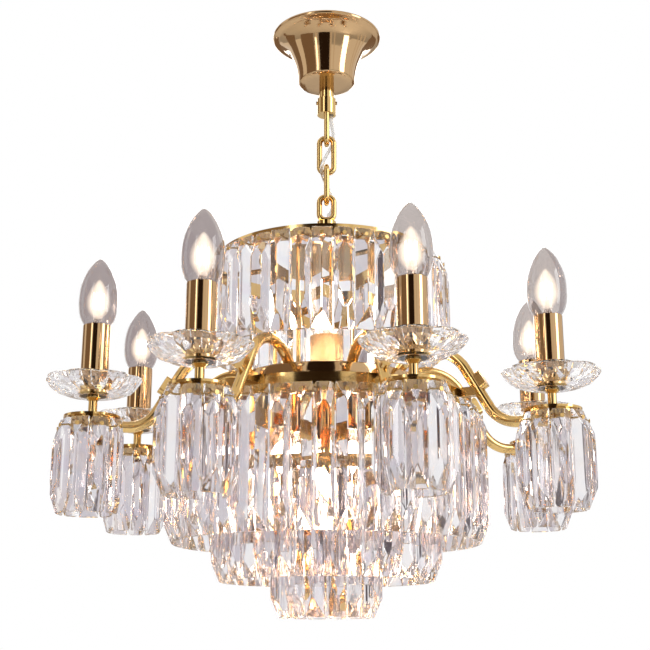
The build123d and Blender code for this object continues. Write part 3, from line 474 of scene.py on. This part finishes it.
def build_materials():
    colours = bpy.context.scene.chandelier_colours
    gilt = gilt_group()
    crystal = crystal_group()
    moulding = moulding_group()
    metal = {"Metallic": 1.0}
    made = {}
    for name, tone, gloss, scale in (
        ("champagne_gilt", colours.champagne, 0.07, 14.0),
        ("yellow_gilt", colours.yellow, 0.10, 22.0),
        ("satin_gilt", colours.yellow, 0.42, 22.0),
        ("zinc_plate", (0.62, 0.61, 0.58, 1), 0.32, 60.0),
        ("lamp_cap_nickel", (0.70, 0.66, 0.58, 1), 0.22, 80.0),
    ):
        values = {"Tone": tuple(tone), "Deep Tone": deeper(tone, 0.86), "Gloss": gloss, "Scale": scale}
        made[name] = finish_material(name, gilt, values, 0.03, 0.0002, metal)
    glass = {"Transmission Weight": 1.0, "IOR": 1.54}
    # Play sets how strongly the colour patches show: partly the glass's tint, partly painted rainbow glints
    made["prism_crystal"] = finish_material(
        "prism_crystal", crystal, {"Tint": tuple(colours.crystal), "Play": 0.34, "Scale": 55.0},
        0.03, 0.0004, glass)
    made["dish_crystal"] = finish_material(
        "dish_crystal", crystal, {"Tint": (0.985, 0.975, 0.97, 1), "Play": 0.12, "Scale": 90.0},
        0.10, 0.0004, glass)
    made["lamp_glass"] = finish_material(
        "lamp_glass", crystal, {"Tint": tuple(colours.lamp), "Play": 0.06, "Scale": 20.0},
        0.02, 0.0002, {"Transmission Weight": 1.0, "IOR": 1.45})
    made["black_holder"] = finish_material(
        "black_holder", moulding, {"Colour": (0.03, 0.03, 0.03, 1), "Gloss": 0.45, "Scale": 500.0},
        0.1, 0.0001, {})
    made["white_terminal"] = finish_material(
        "white_terminal", moulding, {"Colour": (0.78, 0.77, 0.72, 1), "Gloss": 0.4, "Scale": 500.0},
        0.1, 0.0001, {})
    made["clear_cable"] = finish_material(
        "clear_cable", crystal, {"Tint": (0.95, 0.94, 0.90, 1), "Play": 0.1, "Scale": 300.0},
        0.1, 0.0002, {"Transmission Weight": 0.75, "IOR": 1.4})
    made["filament_light"] = light_material("filament_light", 16.0, None)
    made["lamp_haze"] = light_material("lamp_haze", 3.0, 3.2)
    made["centre_glow"] = light_material("centre_glow", 90.0, 0.5)
    made["lower_glow"] = light_material("lower_glow", 210.0, 0.5)
    return made


def light_material(name, strength, falloff):
    """Glowing material. With a falloff it is a soft haze, densest where it is seen face on."""
    material = bpy.data.materials.new(name)
    material.use_nodes = True
    tree = material.node_tree
    shader = tree.nodes["Principled BSDF"]
    shader.inputs["Base Color"].default_value = (0, 0, 0, 1)
    shader.inputs["Specular IOR Level"].default_value = 0.0
    shader.inputs["Roughness"].default_value = 1.0
    shader.inputs["Emission Strength"].default_value = strength
    place = add_node(tree, "ShaderNodeTexCoord", (-900, 0))
    flicker = add_node(tree, "ShaderNodeTexNoise", (-700, 0), Scale=180.0, Detail=2.0)
    tree.links.new(place.outputs["Object"], flicker.inputs["Vector"])
    tone = add_node(tree, "ShaderNodeValToRGB", (-450, 0))
    glow = bpy.context.scene.chandelier_colours.glow
    tone.color_ramp.elements[0].color = deeper(glow, 0.92)
    tone.color_ramp.elements[1].color = (1.0, 0.93, 0.82, 1)
    tree.links.new(flicker.outputs["Fac"], tone.inputs["Fac"])
    tree.links.new(tone.outputs["Color"], shader.inputs["Emission Color"])
    if falloff is not None:
        facing = add_node(tree, "ShaderNodeLayerWeight", (-700, -300), Blend=0.5)
        solid = add_node(tree, "ShaderNodeMath", (-450, -300), operation="SUBTRACT")
        solid.inputs[0].default_value = 1.0
        tree.links.new(facing.outputs["Facing"], solid.inputs[1])
        dense = add_node(tree, "ShaderNodeMath", (-250, -300), operation="POWER")
        dense.inputs[1].default_value = falloff
        tree.links.new(solid.outputs[0], dense.inputs[0])
        thin = add_node(tree, "ShaderNodeMath", (-80, -300), operation="MULTIPLY")
        thin.inputs[1].default_value = 0.6
        tree.links.new(dense.outputs[0], thin.inputs[0])
        tree.links.new(thin.outputs[0], shader.inputs["Alpha"])
    return material


MATERIALS = {}
CAD_FINISHES = {
    "yellow_gilt": [
        "lock_ring", "loop_collar", "collar_screws", "chain_link_1", "chain_link_2", "hanging_ring", "top_cap",
        "crown_stem", "crown_frame", "support_rods", "rod_nuts", "frame_nuts", "centre_tube", "finial",
        "big_ring", "third_ring", "bottom_ring", "ring_clips", "arm_clamps", "ferrules", "pendant_hubs",
        *[f"arm_{i}" for i in range(1, 9)]],
    "satin_gilt": ["prism_pins"],
    "champagne_gilt": ["plate_cover", "centre_sleeve", "candle_sleeves", "down_holders"],
    "zinc_plate": ["ceiling_strap", "strap_nut", "canopy_nipple"],
    "black_holder": ["candle_holders", "centre_holder"],
    "white_terminal": ["terminal_block"],
}


class CHANDELIER_OT_finishes(bpy.types.Operator):
    """Build the finishes and give the CAD nodes theirs"""

    bl_idname = "chandelier.finishes"
    bl_label = "Finishes"

    def execute(self, context):
        MATERIALS.update(build_materials())
        for material, nodes in CAD_FINISHES.items():
            for node in nodes:
                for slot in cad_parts[node].material_slots:
                    slot.material = MATERIALS[material]
        return {"FINISHED"}


# ---------------------------------------------------------------- pieces
class CHANDELIER_OT_canopy(bpy.types.Operator):
    """Turn the ceiling canopy's bell with its stepped rim"""

    bl_idname = "chandelier.canopy"
    bl_label = "Canopy"

    def execute(self, context):
        piece = lathe(CANOPY_PROFILE, 96)
        apply_modifier(piece, "SOLIDIFY", thickness=0.0009, offset=-1.0, use_even_offset=True)
        finish_piece(piece, "canopy_bell", MATERIALS["champagne_gilt"], smooth=50)
        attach(piece, "ceiling")
        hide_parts("canopy")
        return {"FINISHED"}


class CHANDELIER_OT_plate(bpy.types.Operator):
    """Turn the pan that the arms spring from"""

    bl_idname = "chandelier.plate"
    bl_label = "Main plate"

    def execute(self, context):
        piece = lathe(PLATE_PROFILE, 128, close=True)
        finish_piece(piece, "plate_pan", MATERIALS["champagne_gilt"], smooth=50)
        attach(piece, "chandelier")
        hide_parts("main_plate")
        return {"FINISHED"}


class CHANDELIER_OT_cable(bpy.types.Operator):
    """Thread the clear supply cable through the chain, in three runs cut at set heights"""

    bl_idname = "chandelier.cable"
    bl_label = "Supply cable"

    def execute(self, context):
        start_clean()
        bpy.ops.curve.primitive_nurbs_path_add()
        curve = context.object
        curve.data.splines.clear()
        spline = curve.data.splines.new("NURBS")
        spline.points.add(len(CABLE_ROUTE) - 1)
        for point, place in zip(spline.points, CABLE_ROUTE):
            point.co = (*[value / 1000 for value in place], 1)
        spline.order_u = 3
        spline.use_endpoint_u = True
        curve.data.dimensions = "3D"
        curve.data.resolution_u = 10
        curve.data.bevel_depth = CABLE_RADIUS
        curve.data.bevel_resolution = 3
        curve.data.use_fill_caps = True
        bpy.ops.object.convert(target="MESH")
        whole = context.object
        for name, top, bottom, bodies, bend in CABLE_RUNS:
            run = copy_of(whole, Matrix.Identity(4))
            for height, keep_below in ((top, True), (bottom, False)):
                if height is not None:
                    cut_level(run, height, keep_below)
            finish_piece(run, name, MATERIALS["clear_cable"], smooth=60)
            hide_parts("supply_cable")
            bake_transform(run)
        discard(whole)
        return {"FINISHED"}


def cut_level(piece, height, keep_below):
    start_clean()
    bpy.context.view_layer.objects.active = piece
    piece.select_set(True)
    bpy.ops.object.mode_set(mode="EDIT")
    bpy.ops.mesh.select_all(action="SELECT")
    bpy.ops.mesh.bisect(
        plane_co=(0, 0, height), plane_no=(0, 0, 1), use_fill=True,
        clear_outer=keep_below, clear_inner=not keep_below)
    bpy.ops.object.mode_set(mode="OBJECT")


def cut(place, normal):
    """Saw off what stands beyond a plane, on all that is in edit mode."""
    bpy.ops.mesh.select_all(action="SELECT")
    # bisect measures along the normal as given, so a short one would leave small corners on
    straight = Vector(normal).normalized()
    bpy.ops.mesh.bisect(
        plane_co=place, plane_no=straight, threshold=0.00001, use_fill=True, clear_outer=True)


def prism_width(back, count):
    space = bpy.context.scene.chandelier_sizes.prism_space
    return 2 * back * math.tan(math.pi / count) - space


def cut_prism(width, length, ridged):
    """Saw one prism from a block: its back at X = 0, its front facing +X, its top at Z = 0."""
    sizes = bpy.context.scene.chandelier_sizes
    depth, edge, rise = sizes.prism_depth, sizes.prism_edge, sizes.prism_bevel
    run = depth - edge
    half = width / 2
    front = 0.0 if ridged else half * FLAT_SHARE
    drop = rise + CORNER_FRONT * CORNER_SIDE / CORNER_END - CORNER_SIDE
    lean = CORNER_END * drop + CORNER_SIDE * (half - front)
    start_clean()
    bpy.ops.mesh.primitive_cube_add(
        size=1, location=(depth / 2, 0, -length / 2), scale=(depth, width, length))
    piece = bpy.context.object
    bpy.ops.object.transform_apply(location=True, rotation=True, scale=True)
    bpy.ops.object.mode_set(mode="EDIT")
    for side in (-1, 1):
        cut((edge, side * half, 0), (half - front, side * run, 0))
    for height, up in ((0, 1), (-length, -1)):
        cut((edge, 0, height), (rise, 0, up * run))
        if not ridged:
            for side in (-1, 1):
                cut((edge, side * half, height - up * CORNER_SIDE),
                    (lean, side * CORNER_SIDE * run, up * CORNER_END * run))
    bpy.ops.object.mode_set(mode="OBJECT")
    apply_modifier(piece, "BEVEL", width=sizes.arris, segments=1, limit_method="ANGLE", angle_limit=0.2)
    return piece


def prism_ring(name, back, top, length, first, places, spread):
    """Ridged and flat prisms in turn, at the given ones of a ring's evenly spread places, as one piece."""
    width = prism_width(back, spread)
    kinds = [cut_prism(width, length, True), cut_prism(width, length, False)]
    lift = Matrix.Translation((back, 0, top))
    ring = [copy_of(kinds[i % 2], turn(first + 360 / spread * i) @ lift) for i in places]
    for kind in kinds:
        discard(kind)
    piece = joined(ring, name)
    finish_piece(piece, name, MATERIALS["prism_crystal"])
    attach(piece, "chandelier")
    return piece


class CHANDELIER_OT_prisms(bpy.types.Operator):
    """Hang the four stepped rings of prisms"""

    bl_idname = "chandelier.prisms"
    bl_label = "Prism tiers"

    def execute(self, context):
        for name, node, back, top, length, count in PRISM_TIERS:
            first = ARM_AZIMUTHS[0] + 180 / count
            piece = prism_ring(name, back, top, length, first, range(count), count)
            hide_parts(node)
        return {"FINISHED"}


class CHANDELIER_OT_pendants(bpy.types.Operator):
    """Hang the pendant of prisms under each candle"""

    bl_idname = "chandelier.pendants"
    bl_label = "Pendants"

    def execute(self, context):
        pendant = prism_ring(
            "pendant_crystals", PENDANT_BACK, PENDANT_TOP, PENDANT_LENGTH, 270,
            range(1, PENDANT_PLACES), PENDANT_PLACES)
        for number, azimuth in enumerate(ARM_AZIMUTHS, 1):
            piece = copy_of(pendant, at_candle(azimuth))
            piece.name = f"pendant_crystals_{number}"
            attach(piece, "chandelier")
            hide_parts("pendant_prisms")
        discard(pendant)
        return {"FINISHED"}


class CHANDELIER_OT_dishes(bpy.types.Operator):
    """Cut the lobed crystal drip dish under each candle sleeve"""

    bl_idname = "chandelier.dishes"
    bl_label = "Drip dishes"

    def execute(self, context):
        dish = lathe(DISH_PROFILE, DISH_SIDES, close=True)
        # lobes: every fourth spoke is drawn in, and the underside is cut between the spokes
        for offset, draw_in, lift in (
            (0, 0.90, 0.0016), (1, 0.985, -0.0008), (2, 1.0, 0.0014), (3, 0.985, -0.0008),
        ):
            select_spokes(dish, offset)
            bpy.ops.object.mode_set(mode="EDIT")
            bpy.ops.transform.resize(value=(draw_in, draw_in, 1), center_override=(0, 0, 0))
            bpy.ops.object.mode_set(mode="OBJECT")
            select_spokes(dish, offset, below=DISH_CUT_HEIGHT)
            bpy.ops.object.mode_set(mode="EDIT")
            bpy.ops.transform.translate(value=(0, 0, lift))
            bpy.ops.object.mode_set(mode="OBJECT")
        apply_modifier(dish, "BEVEL", width=0.0003, segments=1, limit_method="ANGLE", angle_limit=0.5)
        finish_piece(dish, "dish", MATERIALS["dish_crystal"])
        for number, azimuth in enumerate(ARM_AZIMUTHS, 1):
            piece = copy_of(dish, at_candle(azimuth))
            piece.name = f"drip_dish_{number}"
            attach(piece, "chandelier")
            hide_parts("drip_dishes")
        discard(dish)
        return {"FINISHED"}


def select_spokes(piece, offset, below=math.inf):
    """Select the outer vertices of every fourth spoke of a dish, up to a height."""
    start_clean()
    bpy.context.view_layer.objects.active = piece
    piece.select_set(True)
    for face in piece.data.polygons:
        face.select = False
    for edge in piece.data.edges:
        edge.select = False
    for vertex in piece.data.vertices:
        spoke = round(math.atan2(vertex.co.y, vertex.co.x) / (2 * math.pi) * DISH_SIDES)
        outer = math.hypot(vertex.co.x, vertex.co.y) > DISH_LOBE_START
        vertex.select = spoke % 4 == offset and outer and vertex.co.z < below


def filament_mesh():
    """Zigzag of hot wire on its stem, from 17 to 31 mm above the lamp's neck."""
    start_clean()
    bpy.ops.curve.primitive_nurbs_path_add()
    curve = bpy.context.object
    curve.data.splines.clear()
    spline = curve.data.splines.new("NURBS")
    turns = 9
    spline.points.add(2 * turns)
    for i, point in enumerate(spline.points):
        angle = 2 * math.pi * i / (2 * turns + 1)
        high = 0.031 if i % 2 else 0.017
        point.co = (0.0048 * math.cos(angle), 0.0048 * math.sin(angle), high, 1)
    spline.order_u = 2
    spline.use_endpoint_u = True
    curve.data.dimensions = "3D"
    curve.data.bevel_depth = 0.00028
    curve.data.bevel_resolution = 1
    bpy.ops.object.convert(target="MESH")
    return bpy.context.object


class CHANDELIER_OT_lamps(bpy.types.Operator):
    """Make the lit candle lamps, outside, in the middle and below"""

    bl_idname = "chandelier.lamps"
    bl_label = "Lamps"

    def execute(self, context):
        sizes = context.scene.chandelier_sizes
        envelope = lathe(LAMP_PROFILE, 40, cap_end=True)
        apply_modifier(envelope, "SOLIDIFY", thickness=0.0006, offset=-1.0)
        finish_piece(envelope, "lamp", MATERIALS["lamp_glass"], smooth=60)
        cap = lathe(CAP_PROFILE, 32, cap_end=True)
        finish_piece(cap, "cap", MATERIALS["lamp_cap_nickel"], smooth=40)
        stem = lathe(STEM_PROFILE, 16, cap_end=True)
        finish_piece(stem, "stem", MATERIALS["lamp_glass"], smooth=60)
        filament = filament_mesh()
        finish_piece(filament, "filament", MATERIALS["filament_light"], smooth=60)
        haze = lathe(HAZE_PROFILE, 24, cap_end=True)
        finish_piece(haze, "haze", MATERIALS["lamp_haze"], smooth=80)
        parts = [("glass", envelope, "lamp_glass"), ("cap", cap, "gold"), ("stem", stem, "lamp_glass"),
                 ("filament", filament, "lamp_glass"), ("haze", haze, "lamp_glass")]
        top = Matrix.Translation((0, 0, sizes.sleeve_top))
        places = [(f"lamp_{i}", body, body, at_candle(azimuth) @ top)
                  for i, (body, azimuth) in enumerate(zip(LAMP_BODIES, ARM_AZIMUTHS), 1)]
        centre = Matrix.Translation((0, 0, sizes.centre_sleeve_top))
        places.append(("centre_lamp", "chandelier", "centre_bulb", centre))
        upside_down = Matrix.Rotation(math.pi, 4, "X")
        below = Matrix.Translation((sizes.down_radius, 0, sizes.down_mouth)) @ upside_down
        for i in range(3):
            place = turn(FIRST_LOWER_LAMP + 120 * i) @ below
            places.append((f"lower_lamp_{i + 1}", "chandelier", "down_bulbs", place))
        for name, body, node, matrix in places:
            for label, part, slot in parts:
                inside = label == "haze" and body == "chandelier"
                piece = copy_of(part, matrix @ Matrix.Scale(GLOW_SCALE, 4) if inside else matrix)
                piece.name = f"{name}_{label}"
                if inside:
                    glow = "centre_glow" if node == "centre_bulb" else "lower_glow"
                    piece.data.materials[0] = MATERIALS[glow]
                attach(piece, body)
                if label == "glass":
                    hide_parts(node)
        for _, part, _ in parts:
            discard(part)
        return {"FINISHED"}


# ---------------------------------------------------------------- stage
# the camera, fitted in the photograph's frame
FRAME_PIXELS, FOCAL_PIXELS, SHIFT_PIXELS = 650, 1157, -1.6
CAMERA_PLACE, CAMERA_TILT = (0, -1.080, -0.6123), 15.6
# flags round the stage, as azimuth in degrees and width in metres: broad ones that shade the gilt, and
# narrow dark ones that give the cut crystal its lines
BROAD_FLAGS = ((-62, 1.9), (-118, 1.3), (150, 1.0), (-165, 0.9))
STRIP_FLAGS = (
    (-157, 0.26), (-123, 0.208), (-111, 0.312), (-78, 0.234), (-66, 0.182), (-32, 0.286), (-20, 0.182),
    (13, 0.26), (25, 0.156), (58, 0.234), (70, 0.286), (103, 0.182), (114, 0.26), (126, 0.208), (156, 0.182),
)


def stage_material(name, colour, seen_through):
    """A flag's cloth: one shade in gloss and another through glass."""
    material = bpy.data.materials.new(name)
    material.use_nodes = True
    tree = material.node_tree
    tree.nodes.clear()
    out = add_node(tree, "ShaderNodeOutputMaterial", (400, 0))
    light = add_node(tree, "ShaderNodeEmission", (200, 0))
    path = add_node(tree, "ShaderNodeLightPath", (-400, 100))
    mix = add_node(tree, "ShaderNodeMix", (-100, 0), data_type="RGBA")
    mix.inputs[6].default_value = (*colour, 1)
    mix.inputs[7].default_value = (*seen_through, 1)
    tree.links.new(path.outputs["Is Transmission Ray"], mix.inputs["Factor"])
    tree.links.new(mix.outputs[2], light.inputs["Color"])
    tree.links.new(light.outputs[0], out.inputs["Surface"])
    return material


def add_flag(name, azimuth, distance, width, height, level, material):
    start_clean()
    bpy.ops.mesh.primitive_plane_add(size=1)
    flag = bpy.context.object
    upright = Matrix.Rotation(math.pi / 2, 4, "Y") @ Matrix.Diagonal((height, width, 1, 1))
    flag.data.transform(turn(azimuth) @ Matrix.Translation((distance, 0, level)) @ upright)
    finish_flag(flag, name, material)


def add_overhead_flag(name, size, level, material):
    start_clean()
    bpy.ops.mesh.primitive_plane_add(size=size, location=(0, 0, level))
    bpy.ops.object.transform_apply(location=True)
    finish_flag(bpy.context.object, name, material)


def finish_flag(flag, name, material):
    """Leave a flag to be seen in gloss and through glass only."""
    flag.name = name
    flag.data.materials.append(material)
    flag.visible_camera = False
    flag.visible_diffuse = False
    flag.visible_shadow = False


def add_softbox(name, azimuth, distance, level, width, height, power):
    light = bpy.data.lights.new(name, "AREA")
    light.shape = "RECTANGLE"
    light.size = width
    light.size_y = height
    light.energy = power
    lamp = bpy.data.objects.new(name, light)
    bpy.context.scene.collection.objects.link(lamp)
    place = turn(azimuth) @ Vector((distance, 0, level))
    lamp.location = place
    lamp.rotation_euler = (Vector((0, 0, -0.35)) - place).to_track_quat("-Z", "Y").to_euler()
    lamp.visible_camera = False
    lamp.visible_transmission = False


class CHANDELIER_OT_stage(bpy.types.Operator):
    """Set the floor, the white surroundings, the lights, the flags and the camera"""

    bl_idname = "chandelier.stage"
    bl_label = "Stage"

    def execute(self, context):
        scene = context.scene
        scene.view_settings.view_transform = "Standard"
        # light passes from prism to prism; at the usual bounce counts some is lost on the way,
        # and the crystal comes out darker and greyer
        scene.cycles.max_bounces = 48
        scene.cycles.transmission_bounces = 48
        scene.cycles.glossy_bounces = 24
        self.add_floor()
        self.light_world(scene)
        dark = stage_material("flag_dark", (0.03, 0.018, 0.012), (0.64, 0.60, 0.61))
        overhead = stage_material("flag_overhead", (0.85, 0.80, 0.74), (0.62, 0.57, 0.54))
        middle = stage_material("flag_middle", (0.30, 0.22, 0.16), (0.70, 0.67, 0.70))
        strip = stage_material("flag_strip", (0.85, 0.80, 0.74), (0.10, 0.08, 0.09))
        add_flag("flag_front", -7, 2.4, 1.5, 4.6, 0.3, dark)
        add_overhead_flag("flag_overhead", 2.8, 0.9, overhead)
        for number, (azimuth, width) in enumerate(BROAD_FLAGS, 1):
            add_flag(f"flag_{number}", azimuth, 2.5, width, 3.8, -0.1, middle)
        for number, (azimuth, width) in enumerate(STRIP_FLAGS, 1):
            add_flag(f"strip_{number}", azimuth, 2.65, width, 4.2, -0.1, strip)
        add_softbox("softbox_right", 62, 2.0, 0.5, 0.7, 3.0, 34)
        add_softbox("softbox_left", -34, 2.1, 0.5, 0.22, 2.6, 6)
        add_softbox("softbox_back", 180, 2.2, 0.8, 2.0, 1.2, 24)
        add_softbox("softbox_top", 90, 0.3, 1.6, 2.0, 2.0, 24)
        self.add_camera(scene)
        return {"FINISHED"}

    def add_floor(self):
        start_clean()
        bpy.ops.mesh.primitive_plane_add(size=14, location=(0, 0, -1.35))
        floor = bpy.context.object
        bpy.ops.object.transform_apply(location=True)
        floor.name = "floor"
        material = bpy.data.materials.new("floor_paint")
        material.use_nodes = True
        shader = material.node_tree.nodes["Principled BSDF"]
        shader.inputs["Base Color"].default_value = (0.86, 0.86, 0.86, 1)
        shader.inputs["Roughness"].default_value = 0.9
        floor.data.materials.append(material)

    def light_world(self, scene):
        """White for what is seen, mirrored or looked through, and a softer level for the rest."""
        world = bpy.data.worlds.new("studio")
        scene.world = world
        world.use_nodes = True
        tree = world.node_tree
        tree.nodes.clear()
        path = add_node(tree, "ShaderNodeLightPath", (-600, 0))
        first = add_node(tree, "ShaderNodeMath", (-400, 0), operation="MAXIMUM")
        tree.links.new(path.outputs["Is Camera Ray"], first.inputs[0])
        tree.links.new(path.outputs["Is Glossy Ray"], first.inputs[1])
        second = add_node(tree, "ShaderNodeMath", (-200, 0), operation="MAXIMUM")
        tree.links.new(first.outputs[0], second.inputs[0])
        tree.links.new(path.outputs["Is Transmission Ray"], second.inputs[1])
        soft = add_node(tree, "ShaderNodeBackground", (0, 100), Color=(1, 1, 1, 1), Strength=0.55)
        white = add_node(tree, "ShaderNodeBackground", (0, -100), Color=(1, 1, 1, 1), Strength=1.0)
        mix = add_node(tree, "ShaderNodeMixShader", (250, 0))
        out = add_node(tree, "ShaderNodeOutputWorld", (450, 0))
        tree.links.new(second.outputs[0], mix.inputs[0])
        tree.links.new(soft.outputs[0], mix.inputs[1])
        tree.links.new(white.outputs[0], mix.inputs[2])
        tree.links.new(mix.outputs[0], out.inputs["Surface"])

    def add_camera(self, scene):
        data = bpy.data.cameras.new("camera")
        data.sensor_width = 36
        data.lens = data.sensor_width * FOCAL_PIXELS / FRAME_PIXELS
        data.shift_x = SHIFT_PIXELS / FRAME_PIXELS
        data.clip_end = 50
        camera = bpy.data.objects.new("camera", data)
        camera.location = CAMERA_PLACE
        camera.rotation_euler = (math.radians(90 + CAMERA_TILT), 0, 0)
        scene.collection.objects.link(camera)
        scene.camera = camera


class CHANDELIER_PT_panel(bpy.types.Panel):
    """Sidebar panel with every piece of the chandelier"""

    bl_label = "Chandelier"
    bl_idname = "CHANDELIER_PT_panel"
    bl_space_type = "VIEW_3D"
    bl_region_type = "UI"
    bl_category = "Chandelier"

    def draw(self, context):
        for group in (context.scene.chandelier_sizes, context.scene.chandelier_colours):
            for name in group.__annotations__:
                self.layout.prop(group, name)
        for operator in OPERATORS:
            self.layout.operator(operator.bl_idname)


OPERATORS = (
    CHANDELIER_OT_stage,
    CHANDELIER_OT_finishes,
    CHANDELIER_OT_cable,
    CHANDELIER_OT_canopy,
    CHANDELIER_OT_plate,
    CHANDELIER_OT_prisms,
    CHANDELIER_OT_pendants,
    CHANDELIER_OT_dishes,
    CHANDELIER_OT_lamps,
)
CLASSES = (ChandelierSizes, ChandelierColours, *OPERATORS, CHANDELIER_PT_panel)


def register():
    for cls in CLASSES:
        bpy.utils.register_class(cls)
    bpy.types.Scene.chandelier_sizes = bpy.props.PointerProperty(type=ChandelierSizes)
    bpy.types.Scene.chandelier_colours = bpy.props.PointerProperty(type=ChandelierColours)


def unregister():
    del bpy.types.Scene.chandelier_colours
    del bpy.types.Scene.chandelier_sizes
    for cls in reversed(CLASSES):
        bpy.utils.unregister_class(cls)


def main():
    register()
    for operator in OPERATORS:
        group, name = operator.bl_idname.split(".")
        getattr(getattr(bpy.ops, group), name)()


if __name__ == "__main__":
    main()
